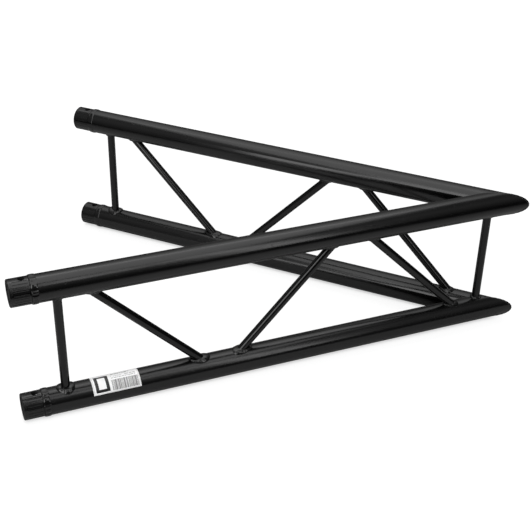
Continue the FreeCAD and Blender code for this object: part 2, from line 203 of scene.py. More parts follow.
def finish_piece(
    mesh: bmesh.types.BMesh,
    name: str,
    material: bpy.types.Material,
    replaces: list[str],
    sharp: float = 35.0,
) -> bpy.types.Object:
    """Make an object of a finished mesh and hang it on the part.

    Args:
        mesh: the mesh, in the row's frame; it is freed.
        name: the piece's name.
        material: the finish.
        replaces: the CAD nodes that the piece stands for.
        sharp: edges steeper than this angle in degrees stay sharp.

    Returns:
        The new object.
    """
    bmesh.ops.recalc_face_normals(mesh, faces=mesh.faces)
    data = bpy.data.meshes.new(name)
    mesh.to_mesh(data)
    mesh.free()
    data.shade_smooth()
    data.set_sharp_from_angle(angle=math.radians(sharp))
    data.materials.append(material)
    piece = bpy.data.objects.new(name, data)
    bpy.context.scene.collection.objects.link(piece)
    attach(piece, "root")
    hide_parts(*replaces)
    log.info("%s: %d faces", name, len(data.polygons))
    return piece


# --------------------------------------------------------------------------------------------------
# Finishes
# --------------------------------------------------------------------------------------------------


class Nodes:
    """A small hand for wiring a material's nodes."""

    def __init__(self, tree: bpy.types.NodeTree) -> None:
        """Empty the tree and keep it.

        Args:
            tree: the nodes of a material or of the world.
        """
        self.tree = tree
        tree.nodes.clear()

    def add(self, kind: str, **settings: object) -> bpy.types.Node:
        """Add a node.

        Args:
            kind: the node's type.
            settings: its properties.

        Returns:
            The node.
        """
        node = self.tree.nodes.new(kind)
        for key, value in settings.items():
            setattr(node, key, value)
        return node

    def feed(self, socket: bpy.types.NodeSocket, value: object) -> None:
        """Link a socket to another one, or set it to a plain value.

        Args:
            socket: the socket to feed.
            value: another socket, or the value.
        """
        if isinstance(value, bpy.types.NodeSocket):
            self.tree.links.new(value, socket)
        else:
            socket.default_value = value

    def math(self, operation: str, *values: object) -> bpy.types.NodeSocket:
        """Combine numbers with one Math node.

        Args:
            operation: what it does.
            values: sockets or numbers.

        Returns:
            The result's socket.
        """
        node = self.add("ShaderNodeMath", operation=operation)
        for socket, value in zip(node.inputs, values):
            self.feed(socket, value)
        return node.outputs[0]

    def chain(self, operation: str, first: object, *others: object) -> bpy.types.NodeSocket:
        """Combine any number of values, one after another.

        Args:
            operation: what is done with each two.
            first: a socket or number.
            others: more of them.

        Returns:
            The result's socket.
        """
        for value in others:
            first = self.math(operation, first, value)
        return first

    def remap(
        self, value: object, low: float, high: float, to_low: float, to_high: float,
    ) -> bpy.types.NodeSocket:
        """Carry a range of numbers smoothly to another range.

        Args:
            value: the socket to read.
            low: start of its range.
            high: end of its range.
            to_low: result at the start.
            to_high: result at the end.

        Returns:
            The result's socket.
        """
        node = self.add("ShaderNodeMapRange", interpolation_type="SMOOTHSTEP")
        for socket, item in zip(node.inputs, (value, low, high, to_low, to_high)):
            self.feed(socket, item)
        return node.outputs[0]

    def mix(self, share: object, first: object, second: object) -> bpy.types.NodeSocket:
        """Mix two colours.

        Args:
            share: how much of the second.
            first: the first colour.
            second: the second colour.

        Returns:
            The mixed colour's socket.
        """
        node = self.add("ShaderNodeMix", data_type="RGBA")
        self.feed(node.inputs["Factor"], share)
        self.feed(node.inputs[6], first)
        self.feed(node.inputs[7], second)
        return node.outputs[2]

    def placed(
        self,
        turn: float = 0.0,
        place: tuple[float, float, float] = (0.0, 0.0, 0.0),
        stretch: tuple[float, float, float] = (1.0, 1.0, 1.0),
    ) -> bpy.types.NodeSocket:
        """Read object coordinates, turned about Z, then moved.

        Args:
            turn: the ladder's turn, in radians.
            place: the ladder's own origin, in the row's frame.
            stretch: how much finer the pattern gets along each axis.

        Returns:
            The coordinates' socket.
        """
        source = self.add("ShaderNodeTexCoord").outputs["Object"]
        moved = self.add("ShaderNodeVectorMath", operation="SUBTRACT")
        self.feed(moved.inputs[0], source)
        self.feed(moved.inputs[1], place)
        turned = self.add("ShaderNodeMapping", vector_type="POINT")
        turned.inputs["Rotation"].default_value = (0.0, 0.0, -turn)
        self.feed(turned.inputs["Vector"], moved.outputs[0])
        scaled = self.add("ShaderNodeVectorMath", operation="MULTIPLY")
        self.feed(scaled.inputs[0], turned.outputs[0])
        self.feed(scaled.inputs[1], stretch)
        return scaled.outputs[0]

    def noise(
        self, vector: bpy.types.NodeSocket, scale: float, detail: float = 2.0,
    ) -> bpy.types.NodeSocket:
        """Add a noise pattern.

        Args:
            vector: its coordinates.
            scale: patches per metre.
            detail: how many finer layers it has.

        Returns:
            The noise's value, about 0.5.
        """
        node = self.add("ShaderNodeTexNoise")
        self.feed(node.inputs["Vector"], vector)
        self.feed(node.inputs["Scale"], scale)
        self.feed(node.inputs["Detail"], detail)
        return node.outputs["Fac"]

    def grazing(self, amount: float) -> bpy.types.NodeSocket:
        """Raise a value where the surface turns edge-on.

        Args:
            amount: the value edge-on.

        Returns:
            The value's socket, 0 where the surface is seen square on.
        """
        weight = self.add("ShaderNodeLayerWeight")
        self.feed(weight.inputs["Blend"], 0.5)
        return self.remap(weight.outputs["Facing"], 0.45, 0.9, 0.0, amount)

    def bump(self, height: bpy.types.NodeSocket, depth: float) -> bpy.types.NodeSocket:
        """Turn a height pattern into a bumped normal.

        Args:
            height: the pattern.
            depth: its depth in metres.

        Returns:
            The normal's socket.
        """
        node = self.add("ShaderNodeBump")
        self.feed(node.inputs["Strength"], 1.0)
        self.feed(node.inputs["Distance"], depth)
        self.feed(node.inputs["Height"], height)
        return node.outputs[0]


class BlankMaterial:
    """A new material, its shader joined to its output."""

    def __init__(self, name: str) -> None:
        """Make the material.

        Args:
            name: its name.
        """
        self.material = bpy.data.materials.new(name)
        self.material.use_nodes = True
        self.nodes = Nodes(self.material.node_tree)
        self.shader = self.nodes.add("ShaderNodeBsdfPrincipled")
        target = self.nodes.add("ShaderNodeOutputMaterial")
        self.nodes.feed(target.inputs["Surface"], self.shader.outputs[0])

    def fill(self, values: dict[str, object]) -> bpy.types.Material:
        """Feed the shader's inputs.

        Args:
            values: a socket or a plain value for each input's name.

        Returns:
            The material.
        """
        for name, value in values.items():
            self.nodes.feed(self.shader.inputs[name], value)
        return self.material


def coat_colour(
    nodes: Nodes, patches: bpy.types.NodeSocket, tone: float, light: float,
) -> bpy.types.NodeSocket:
    """Mix a coat's darker and lighter blacks, both a touch bluer than grey.

    Args:
        nodes: the material's nodes.
        patches: the pattern that tells them apart.
        tone: the coat's middle tone.
        light: how many times the middle tone the lighter black is.

    Returns:
        The colour's socket.
    """
    dark, bright = (
        (tone * share, tone * share, tone * (share + COAT_BLUENESS), 1.0)
        for share in (COAT_DARK, light)
    )
    return nodes.mix(patches, dark, bright)


@dataclass(frozen=True)
class PowderCoat:
    """Black powder coat on drawn tube: faint draw lines, fine orange peel, a few pits."""

    name: str
    turn: float = 0.0
    tone: float = 0.0008
    light: float = 1.4
    roughness: float = 0.21
    roughness_spread: float = 0.10
    peel: float = 3.0e-6
    draw_lines: float = 1.0
    line_stretch: float = 0.004
    line_scale: float = 420.0
    line_height: float = 5.0
    pit_scale: float = 190.0
    pit_depth: float = 25.0
    patch_scale: float = 14.0
    peel_scale: float = 900.0
    index: float = 1.5

    def build(self) -> bpy.types.Material:
        """Make the finish.

        Returns:
            The material.
        """
        blank = BlankMaterial(self.name)
        nodes = blank.nodes
        still = nodes.placed(self.turn)
        drawn = nodes.placed(self.turn, stretch=(self.line_stretch, 1.0, 1.0))
        lines = nodes.noise(drawn, self.line_scale, 3.0)
        patches = nodes.noise(still, self.patch_scale, 3.0)
        return blank.fill({
            "Base Color": coat_colour(nodes, patches, self.tone, self.light),
            "Roughness": self.gloss(nodes, lines, patches),
            "Normal": self.relief(nodes, still, lines),
            "IOR": self.index,
        })

    def gloss(
        self, nodes: Nodes, lines: bpy.types.NodeSocket, patches: bpy.types.NodeSocket,
    ) -> bpy.types.NodeSocket:
        """Vary the roughness.

        Args:
            nodes: the material's nodes.
            lines: the draw lines.
            patches: broad patches.

        Returns:
            The roughness.
        """
        spread = self.roughness_spread
        by_line = nodes.math("SUBTRACT", lines, 0.5)
        by_patch = nodes.math("SUBTRACT", patches, 0.5)
        return nodes.chain(
            "ADD",
            nodes.math("MULTIPLY", by_line, spread * self.draw_lines),
            nodes.math("MULTIPLY", by_patch, spread),
            self.roughness,
            nodes.grazing(EDGE_HAZE),
        )

    def relief(
        self, nodes: Nodes, still: bpy.types.NodeSocket, lines: bpy.types.NodeSocket,
    ) -> bpy.types.NodeSocket:
        """Raise the draw lines and the orange peel, and sink the pits.

        Args:
            nodes: the material's nodes.
            still: coordinates along the ladder.
            lines: the draw lines.

        Returns:
            The bumped normal.
        """
        peel = nodes.noise(still, self.peel_scale, 2.0)
        pits = nodes.remap(nodes.noise(still, self.pit_scale, 0.0), 0.79, 0.83, 0.0, 1.0)
        raised = nodes.math("MULTIPLY", lines, self.line_height * self.draw_lines)
        sunk = nodes.math("MULTIPLY", pits, self.pit_depth * self.draw_lines)
        height = nodes.math("SUBTRACT", nodes.math("ADD", peel, raised), sunk)
        return nodes.bump(height, self.peel)


def brace_coat(owner: str, turn: float = 0.0) -> bpy.types.Material:
    """Make the coat of thin tube, which has fainter draw lines than the main tubes."""
    name = f"{owner}_brace_coat"
    return PowderCoat(name, turn, roughness=0.15, draw_lines=0.4, index=1.45).build()


def weld_coat(owner: str, turn: float = 0.0) -> bpy.types.Material:
    """Make the coat over a weld, which is thicker and has no draw lines."""
    name = f"{owner}_weld_coat"
    return PowderCoat(name, turn, roughness=0.13, draw_lines=0.0, peel=1.4e-5).build()


@dataclass(frozen=True)
class ReceiverCoat:
    """The same coat on the turned receivers: bare metal deep in the sockets, fine lines outside."""

    name: str
    ladder: LadderFrame
    bore_radius: float = 18.05 * MM
    land_radius: float = 24.5 * MM
    lathe_pitch: float = 0.35 * MM
    fine_lines: float = 48.0
    fine_line_height: float = 14.0
    tone: float = 0.0010
    light: float = 1.6
    roughness: float = 0.13
    bare_extra: float = 0.12
    groove_haze: float = 0.5
    patch_scale: float = 60.0
    peel_scale: float = 1100.0
    peel: float = 3.0e-6
    index: float = 1.5
    bare_dark: tuple[float, float, float, float] = (0.42, 0.43, 0.44, 1.0)
    bare_light: tuple[float, float, float, float] = (0.62, 0.63, 0.64, 1.0)

    def build(self) -> bpy.types.Material:
        """Make the finish.

        Returns:
            The material.
        """
        blank = BlankMaterial(self.name)
        nodes = blank.nodes
        heights = self.ladder.heights
        middle = (heights[Level.TOP] + heights[Level.BOTTOM]) / 2
        spot = self.ladder.corner + Vector((0, 0, middle))
        still = nodes.placed(self.ladder.turn, tuple(spot))
        split = nodes.add("ShaderNodeSeparateXYZ")
        nodes.feed(split.inputs[0], still)
        along, aside = split.outputs["X"], split.outputs["Y"]
        half = (heights[Level.TOP] - heights[Level.BOTTOM]) / 2
        up = nodes.math("SUBTRACT", nodes.math("ABSOLUTE", split.outputs["Z"]), half)
        square = nodes.math(
            "ADD", nodes.math("MULTIPLY", up, up), nodes.math("MULTIPLY", aside, aside)
        )
        radius = nodes.math("SQRT", square)
        angle = nodes.math("ARCTAN2", aside, up)

        outside = nodes.remap(radius, self.bore_radius, self.bore_radius + 0.4 * MM, 0.0, 1.0)
        coated = nodes.math("MAXIMUM", outside, self.from_mouth(nodes, along, 22, 9, 0.0, 1.0))
        bare = nodes.math("SUBTRACT", 1.0, coated)
        patches = nodes.noise(still, self.patch_scale, 3.0)
        metal = nodes.mix(patches, self.bare_dark, self.bare_light)
        coat = coat_colour(nodes, patches, self.tone, self.light)
        lathe = nodes.math("SINE", nodes.math("MULTIPLY", along, TAU / self.lathe_pitch))
        height = nodes.chain(
            "ADD",
            nodes.noise(still, self.peel_scale, 2.0),
            nodes.math("MULTIPLY", lathe, bare),
            nodes.math("MULTIPLY", self.ribs(nodes, along, angle), outside),
        )
        return blank.fill({
            "Base Color": nodes.mix(coated, metal, coat),
            "Metallic": bare,
            "Roughness": self.gloss(nodes, patches, radius, coated, bare),
            "Normal": nodes.bump(height, self.peel),
            "IOR": self.index,
        })

    def from_mouth(
        self, nodes: Nodes, along: bpy.types.NodeSocket, deep: float, near: float,
        at_deep: float, at_near: float,
    ) -> bpy.types.NodeSocket:
        """Change smoothly between two depths behind the receivers' mouths.

        Args:
            nodes: the material's nodes.
            along: place along the ladder.
            deep: the greater depth, in millimetres.
            near: the lesser depth, in millimetres.
            at_deep: value at the greater depth and beyond.
            at_near: value at the lesser depth and beyond.

        Returns:
            The value's socket.
        """
        mouth = self.ladder.length
        return nodes.remap(along, mouth - deep * MM, mouth - near * MM, at_deep, at_near)

    def gloss(
        self,
        nodes: Nodes,
        patches: bpy.types.NodeSocket,
        radius: bpy.types.NodeSocket,
        coated: bpy.types.NodeSocket,
        bare: bpy.types.NodeSocket,
    ) -> bpy.types.NodeSocket:
        """Vary the roughness: duller on bare metal and in the grooves.

        Args:
            nodes: the material's nodes.
            patches: broad patches.
            radius: distance from the receiver's axis.
            coated: 1 where there is coat.
            bare: 1 where there is none.

        Returns:
            The roughness.
        """
        rough = nodes.remap(patches, 0.3, 0.7, self.roughness - 0.03, self.roughness + 0.05)
        floor, edge = self.land_radius - 0.5 * MM, self.land_radius - 0.1 * MM
        groove = nodes.remap(radius, floor, edge, self.groove_haze, 0.0)
        return nodes.chain(
            "ADD",
            rough,
            nodes.math("MULTIPLY", bare, self.bare_extra),
            nodes.math("MULTIPLY", groove, coated),
            nodes.grazing(EDGE_HAZE),
        )

    def ribs(
        self, nodes: Nodes, along: bpy.types.NodeSocket, angle: bpy.types.NodeSocket,
    ) -> bpy.types.NodeSocket:
        """Run fine ribs along the receivers, between their two ends.

        Args:
            nodes: the material's nodes.
            along: place along the ladder.
            angle: turn round the receiver's axis.

        Returns:
            The ribs' height.
        """
        wave = nodes.math("SINE", nodes.math("MULTIPLY", angle, self.fine_lines))
        start = self.from_mouth(nodes, along, 34, 33, 0.0, self.fine_line_height)
        stop = self.from_mouth(nodes, along, 7, 6, 1.0, 0.0)
        return nodes.chain("MULTIPLY", wave, start, stop)


@dataclass(frozen=True)
class Patch:
    """A rectangle of the label, in shares of its length and of its width."""

    left: float
    right: float
    low: float
    high: float


class PrintedFace:
    """Plain print on the label's own coordinates: every pattern is 1 where there is ink."""

    def __init__(self, nodes: Nodes) -> None:
        """Read the label's coordinates.

        Args:
            nodes: the material's nodes.
        """
        self.nodes = nodes
        split = nodes.add("ShaderNodeSeparateXYZ")
        nodes.feed(split.inputs[0], nodes.add("ShaderNodeTexCoord").outputs["UV"])
        self.along, self.across = split.outputs["X"], split.outputs["Y"]

    def between(
        self, value: bpy.types.NodeSocket, low: float, high: float,
    ) -> bpy.types.NodeSocket:
        """Compare a value with two bounds.

        Args:
            value: the value.
            low: the lower bound.
            high: the upper bound.

        Returns:
            1 where the value lies between them.
        """
        above = self.nodes.math("GREATER_THAN", value, low)
        return self.nodes.math("MULTIPLY", above, self.nodes.math("LESS_THAN", value, high))

    def inside(self, patch: Patch) -> bpy.types.NodeSocket:
        """Return 1 inside a rectangle."""
        along = self.between(self.along, patch.left, patch.right)
        return self.nodes.math("MULTIPLY", along, self.between(self.across, patch.low, patch.high))

    def outline(self, outer: Patch, inner: Patch) -> bpy.types.NodeSocket:
        """Return 1 inside one rectangle but outside another."""
        return self.nodes.math("SUBTRACT", self.inside(outer), self.inside(inner))

    def broken(self, fineness: float, row: object, least: float) -> bpy.types.NodeSocket:
        """Break a line into words or bars.

        Args:
            fineness: how many of them the label's length holds, roughly.
            row: a number that differs from row to row.
            least: the higher, the fewer.

        Returns:
            1 inside a word or bar.
        """
        nodes = self.nodes
        spread = nodes.add("ShaderNodeCombineXYZ")
        nodes.feed(spread.inputs["X"], nodes.math("MULTIPLY", self.along, fineness))
        nodes.feed(spread.inputs["Y"], row)
        return nodes.math("GREATER_THAN", nodes.noise(spread.outputs[0], 1.0, 0.0), least)

    def rows(self, patch: Patch, count: int, gap: float, fineness: float) -> bpy.types.NodeSocket:
        """Fill a rectangle with rows of grey words.

        Args:
            patch: the rectangle.
            count: how many rows.
            gap: share of a row that stays blank.
            fineness: how fine the words are.

        Returns:
            1 inside a word.
        """
        nodes = self.nodes
        pitch = count / (patch.high - patch.low)
        place = nodes.math("MULTIPLY", self.across, pitch)
        shift = nodes.math("SUBTRACT", place, patch.low * pitch)
        line = nodes.math("LESS_THAN", nodes.math("FRACT", shift), 1 - gap)
        row = nodes.math("MULTIPLY", nodes.math("FLOOR", shift), 7.3)
        return nodes.chain("MULTIPLY", line, self.broken(fineness, row, 0.44), self.inside(patch))


@dataclass(frozen=True)
class LabelPrint:
    """White sticker with a border, rows of fine grey print, a field of bars and a plain square."""

    name: str = "label_print"
    paper: float = 0.98
    ink: float = 0.012
    title_strength: float = 0.6
    border_strength: float = 0.225
    row_strength: float = 0.5
    bar_strength: float = 0.72
    grain: float = 1.5e-6

    def build(self) -> bpy.types.Material:
        """Make the finish.

        Returns:
            The material.
        """
        blank = BlankMaterial(self.name)
        nodes = blank.nodes
        ink = self.print_on(nodes, PrintedFace(nodes))
        paper = (self.paper, self.paper, self.paper, 1.0)
        black = (self.ink, self.ink, self.ink, 1.0)
        return blank.fill({
            "Base Color": nodes.mix(ink, paper, black),
            "Roughness": nodes.remap(ink, 0.0, 1.0, 0.34, 0.28),
            "Normal": nodes.bump(nodes.noise(nodes.placed(), 700.0, 2.0), self.grain),
        })

    def print_on(self, nodes: Nodes, face: PrintedFace) -> bpy.types.NodeSocket:
        """Lay out the print.

        Args:
            nodes: the material's nodes.
            face: the label's face.

        Returns:
            How much ink there is, from 0 to 1.
        """
        border = face.outline(Patch(0.012, 0.988, 0.01, 0.99), Patch(0.028, 0.972, 0.028, 0.972))
        square = face.outline(Patch(0.06, 0.35, 0.06, 0.62), Patch(0.125, 0.285, 0.145, 0.535))
        title = face.rows(Patch(0.42, 0.80, 0.60, 0.66), 1, 0.1, 60.0)
        rows = nodes.math(
            "MAXIMUM",
            face.rows(Patch(0.05, 0.95, 0.70, 0.96), 6, 0.5, 46.0),
            face.rows(Patch(0.42, 0.93, 0.43, 0.57), 2, 0.5, 52.0),
        )
        field_of_bars = face.inside(Patch(0.40, 0.96, 0.05, 0.38))
        bars = nodes.math("MULTIPLY", face.broken(90.0, 0.0, 0.46), field_of_bars)
        return nodes.chain(
            "MAXIMUM",
            square,
            nodes.math("MULTIPLY", title, self.title_strength),
            nodes.math("MULTIPLY", border, self.border_strength),
            nodes.math("MULTIPLY", rows, self.row_strength),
            nodes.math("MULTIPLY", bars, self.bar_strength),
        )


# --------------------------------------------------------------------------------------------------
# Tubes and welds
# --------------------------------------------------------------------------------------------------


@dataclass
class MainTube:
    """A main tube: drawn tube, mitred at the corner, square at its receiver."""

    ladder: LadderFrame
    level: Level
    radius: float = TUBE_RADIUS
    wall: float = 2.0 * MM
    receiver_length: float = RECEIVER_LENGTH
    steps: int = 128

    def build(self, material: bpy.types.Material) -> bpy.types.Object:
        """Make the tube.

        Args:
            material: its finish.

        Returns:
            The piece.
        """
        end = self.ladder.length - self.receiver_length
        bore = self.radius - self.wall
        mesh = spun_ring([(0, self.radius), (end, self.radius), (end, bore), (0, bore)], self.steps)
        slope = -self.ladder.outward / math.tan(self.ladder.half_angle)
        for vert in mesh.verts:
            if vert.co.x < end / 2:
                vert.co.x = slope * vert.co.y
        lift = Matrix.Translation((0, 0, self.ladder.heights[self.level]))
        bmesh.ops.transform(mesh, matrix=self.ladder.matrix @ lift, verts=mesh.verts)
        node = f"{self.ladder.side.value}_{self.level.value}_chord"
        return finish_piece(mesh, f"{node}_tube", material, [node])


@dataclass(frozen=True)
class BeadShape:
    """The run of a hand-laid weld: overlapping drops, each with a rounded front."""

    ripples: int
    lumps: int
    ripple_depth: float
    lump_depth: float
    swing: float = 0.35
    phase: float = 0.0

    def dip(self, turn: float, across: float) -> float:
        """Say how far the surface lies below the crest.

        Args:
            turn: place along the weld, in radians.
            across: place across the weld, from -1 to 1.

        Returns:
            The dip, in the unit of the two depths.
        """
        bend = self.swing * across * across
        wander = 0.35 * math.sin(turn * 3 + self.phase) + 0.22 * math.sin(turn * 7 + 2 * self.phase)
        front = self.ripples * (turn + self.phase) + TAU * bend + wander
        drop = (front / TAU) % 1.0
        ripple = self.ripple_depth * (1 - abs(math.sin(math.pi * drop)) ** 0.7)
        big = self.lumps * turn + TAU * bend * 0.4 + 2.1 * wander + self.phase
        lump = self.lump_depth * (0.5 - 0.5 * math.cos(big)) ** 1.4
        return ripple + lump


def seed_of(name: str, cycle: int) -> int:
    """Return a fixed number below a cycle's length, which differs from name to name."""
    return sum(map(ord, name)) % cycle


def aside_of_ladder(spot: Vector) -> float:
    """Measure how far a point in a ladder's frame is from its main tubes' axes, from above."""
    return spot.y


@dataclass
class TubeEnd:
    """The place where a brace meets a main tube: two crossing cylinders."""

    foot: Vector
    lean: Vector
    brace_radius: float
    rest: float
    upward: float
    tube_radius: float
    aside: Callable[[Vector], float]

    def spot(self, angle: float, reach: float, rise: float) -> Vector:
        """Find a point beside the joint.

        Args:
            angle: turn round the brace's axis.
            reach: how far outside the brace's surface.
            rise: how far outside the main tube's surface.

        Returns:
            The point, in the brace's frame.
        """
        across = Vector((self.lean.z, 0.0, -self.lean.x))
        radius = self.brace_radius + reach
        base = self.foot + across * (radius * math.cos(angle))
        base.y += radius * math.sin(angle)
        aside = self.aside(base)
        over = self.tube_radius + rise
        height = self.rest + self.upward * math.sqrt(max(over * over - aside * aside, 0.0))
        return base + self.lean * ((height - base.z) / self.lean.z)


@dataclass
class Brace:
    """A post or diagonal with the weld beads at its two ends."""

    node: str
    foot: Vector
    head: Vector
    matrix: Matrix
    aside: Callable[[Vector], float] = aside_of_ladder
    radius: float = BRACE_RADIUS
    wall: float = 2.0 * MM
    tube_radius: float = TUBE_RADIUS
    reach: float = 4.0 * MM
    puddle: float = 4.0 * MM
    rise: float = 4.0 * MM
    bury: float = 0.4 * MM
    ripples: int = 19
    lumps: int = 5
    ripple_depth: float = 0.30
    lump_depth: float = 0.55
    facets: int = 14
    tube_steps: int = 48
    weld_steps: int = 168

    def end(self, level: Level) -> TubeEnd:
        """Describe where the brace meets a main tube.

        Args:
            level: the main tube.

        Returns:
            The place.
        """
        top = level is Level.TOP
        return TubeEnd(
            foot=self.foot, lean=(self.head - self.foot).normalized(), brace_radius=self.radius,
            rest=self.head.z if top else self.foot.z, upward=-1.0 if top else 1.0,
            tube_radius=self.tube_radius, aside=self.aside,
        )

    def build(self, coat: bpy.types.Material, over_weld: bpy.types.Material) -> None:
        """Make the tube and its two welds.

        Args:
            coat: finish of the tube.
            over_weld: finish of the welds.
        """
        self.make_tube(coat)
        for level in (Level.BOTTOM, Level.TOP):
            self.make_weld(level, over_weld)

    def make_tube(self, coat: bpy.types.Material) -> bpy.types.Object:
        """Make the tube, each end cut to the main tube that it stands on.

        Args:
            coat: its finish.

        Returns:
            The piece.
        """
        bore = self.radius - self.wall
        outline = [(0, self.radius), (1, self.radius), (1, bore), (0, bore)]
        mesh = spun_ring(outline, self.tube_steps)
        ends = {level: self.end(level) for level in Level}
        for vert in mesh.verts:
            end = ends[Level.TOP if vert.co.x > 0.5 else Level.BOTTOM]
            outside = math.hypot(vert.co.y, vert.co.z) - self.radius
            vert.co = end.spot(math.atan2(vert.co.y, vert.co.z), outside, 0.0)
        bmesh.ops.transform(mesh, matrix=self.matrix, verts=mesh.verts)
        return finish_piece(mesh, f"{self.node}_tube", coat, [self.node])

    def make_weld(self, level: Level, coat: bpy.types.Material) -> bpy.types.Object:
        """Make the bead round one end: a curved face from the main tube up to the brace.

        Args:
            level: the main tube that it is on.
            coat: its finish.

        Returns:
            The piece.
        """
        node = f"{self.node}_{level.value}_weld"
        seed = seed_of(node, 97)
        wide = self.puddle if level is Level.BOTTOM else self.reach
        # The share of the bead that is puddle: the more of it, the smoother the bead lies.
        extra = 1 - self.reach / wide
        calm = 1 - 0.85 * extra
        shape = BeadShape(
            ripples=self.ripples, lumps=self.lumps, ripple_depth=self.ripple_depth * calm,
            lump_depth=self.lump_depth * calm, swing=0.45, phase=seed * 0.41,
        )
        end = self.end(level)
        around = self.facets + 2
        mesh = bead_ring(around, self.weld_steps, Axis.X)
        for vert in mesh.verts:
            turn = math.atan2(vert.co.y, vert.co.z)
            inward = math.hypot(vert.co.y, vert.co.z) - BEAD_RING
            step = round(math.atan2(inward, vert.co.x) / TAU * around) % around
            if step > self.facets:
                vert.co = end.spot(turn, -self.bury, -self.bury)
                continue
            quarter = step / self.facets * math.pi / 2
            dip = shape.dip(turn, 2 * step / self.facets - 1)
            lean = 0.5 + 0.5 * math.sin(turn * 3 + seed)
            full = self.reach + (wide - self.reach) * (0.85 + 0.15 * lean)
            size = 1 - 0.10 * dip - 0.15 * (1 - lean) * (1 - extra)
            bulge = 0.95 + 0.75 * dip - 0.45 * extra
            reach = full * size * math.cos(quarter) ** bulge
            rise = self.rise * size * math.sin(quarter) ** (bulge + 0.2 * extra)
            reach -= self.bury if step == self.facets else 0.0
            rise -= self.bury if step == 0 else 0.0
            vert.co = end.spot(turn, reach, rise)
        bmesh.ops.transform(mesh, matrix=self.matrix, verts=mesh.verts)
        return finish_piece(mesh, f"{node}_bead", coat, [node], sharp=WELD_SHARP)


@dataclass
class ReceiverWeld:
    """The ring of weld over the joint of a main tube and its receiver."""

    ladder: LadderFrame
    level: Level
    tube_radius: float = TUBE_RADIUS
    neck_radius: float = 23.7 * MM
    crown: float = 1.2 * MM
    half_width: float = 6.0 * MM
    edge: float = 0.3 * MM
    wobble: float = 0.35 * MM
    ripples: int = 26
    lumps: int = 14
    ripple_depth: float = 0.24 * MM
    lump_depth: float = 0.95 * MM
    receiver_length: float = RECEIVER_LENGTH
    facets: int = 14
    steps: int = 264

    @property
    def unevenness(self) -> float:
        """Share of full lumps: the rear ladder's rings are laid more evenly."""
        return 1.0 if self.ladder.side is Side.FRONT else 0.35

    def outline(self) -> list[tuple[float, float]]:
        """Draw the ring's section, its crest still flat.

        Returns:
            Pairs of place along the tube and radius.
        """
        places = [
            self.half_width * math.cos(math.pi * step / self.facets)
            for step in range(self.facets + 1)
        ]
        crest = [(place, self.tube_radius) for place in places]
        return crest + [
            (-self.half_width, self.tube_radius - self.edge),
            (0.0, self.neck_radius),
            (self.half_width, self.neck_radius),
        ]

    def build(self, coat: bpy.types.Material) -> bpy.types.Object:
        """Make the ring.

        Args:
            coat: its finish.

        Returns:
            The piece.
        """
        node = f"{self.ladder.side.value}_{self.level.value}_receiver_weld"
        seed = seed_of(node, 89)
        shape = BeadShape(
            ripples=self.ripples, lumps=self.lumps, phase=seed * 0.37,
            ripple_depth=self.ripple_depth * self.unevenness,
            lump_depth=self.lump_depth * self.unevenness,
        )
        mesh = spun_ring(self.outline(), self.steps)
        for vert in mesh.verts:
            radius = math.hypot(vert.co.y, vert.co.z)
            if radius < self.tube_radius - self.edge / 3:
                continue
            across = vert.co.x / self.half_width
            turn = math.atan2(vert.co.y, vert.co.z)
            dome = math.sqrt(max(1 - across * across, 0.0))
            top = self.crown * dome - shape.dip(turn, across) * dome ** 0.5
            scale = (self.tube_radius + max(top, 0.02 * MM * dome)) / radius
            vert.co.y *= scale
            vert.co.z *= scale
            side = 1 if across > 0 else 0.4
            vert.co.x += self.wobble * math.sin(turn * 9 + seed) * side * dome
        place = Matrix.Translation(
            (self.ladder.length - self.receiver_length, 0, self.ladder.heights[self.level])
        )
        bmesh.ops.transform(mesh, matrix=self.ladder.matrix @ place, verts=mesh.verts)
        return finish_piece(mesh, f"{node}_bead", coat, [node], sharp=WELD_SHARP)


# --------------------------------------------------------------------------------------------------
# Sub-assemblies
# --------------------------------------------------------------------------------------------------


@dataclass
class Ladder:
    """One ladder: two main tubes, their receivers, the braces and all their welds."""

    ladder: LadderFrame
    end_post_inset: float = 80.0 * MM
    node_gap: float = 36.0 * MM
    outer_run: float = 240.0 * MM
    inner_run: float = 242.0 * MM
    corner_foot: float = 47.0 * MM
    post_puddle: float = 10.0 * MM
    diagonal_puddle: float = 7.0 * MM
    inner_puddle: float = 4.0 * MM

    def braces(self) -> list[Brace]:
        """Lay out the post and the diagonals along the ladder.

        Returns:
            The braces, from the open end to the corner.
        """
        post = self.ladder.length - self.end_post_inset
        outer_top = post - self.node_gap
        outer_foot = outer_top - self.outer_run
        inner_top = self.corner_foot + self.inner_run
        middle_foot, middle_top = outer_foot - self.node_gap, inner_top + self.node_gap
        plans = (
            ("end_post", post, post, self.post_puddle),
            ("outer_diagonal", outer_foot, outer_top, self.diagonal_puddle),
            ("middle_diagonal", middle_foot, middle_top, self.diagonal_puddle),
            ("inner_diagonal", self.corner_foot, inner_top, self.inner_puddle),
        )
        low, high = self.ladder.heights[Level.BOTTOM], self.ladder.heights[Level.TOP]
        return [
            Brace(
                f"{self.ladder.side.value}_{name}", Vector((foot, 0, low)), Vector((head, 0, high)),
                self.ladder.matrix, puddle=puddle,
            )
            for name, foot, head, puddle in plans
        ]

    def build(self) -> None:
        """Make and dress every piece of the ladder."""
        side, turn = self.ladder.side.value, self.ladder.turn
        tube_coat = PowderCoat(f"{side}_tube_coat", turn).build()
        thin_coat, over_weld = brace_coat(side, turn), weld_coat(side, turn)
        receiver_coat = ReceiverCoat(f"{side}_receiver_coat", self.ladder).build()
        for level in Level:
            MainTube(self.ladder, level).build(tube_coat)
            ReceiverWeld(self.ladder, level).build(over_weld)
            dress(frame["nodes"][f"{side}_{level.value}_receiver"], receiver_coat)
        for brace in self.braces():
            brace.build(thin_coat, over_weld)


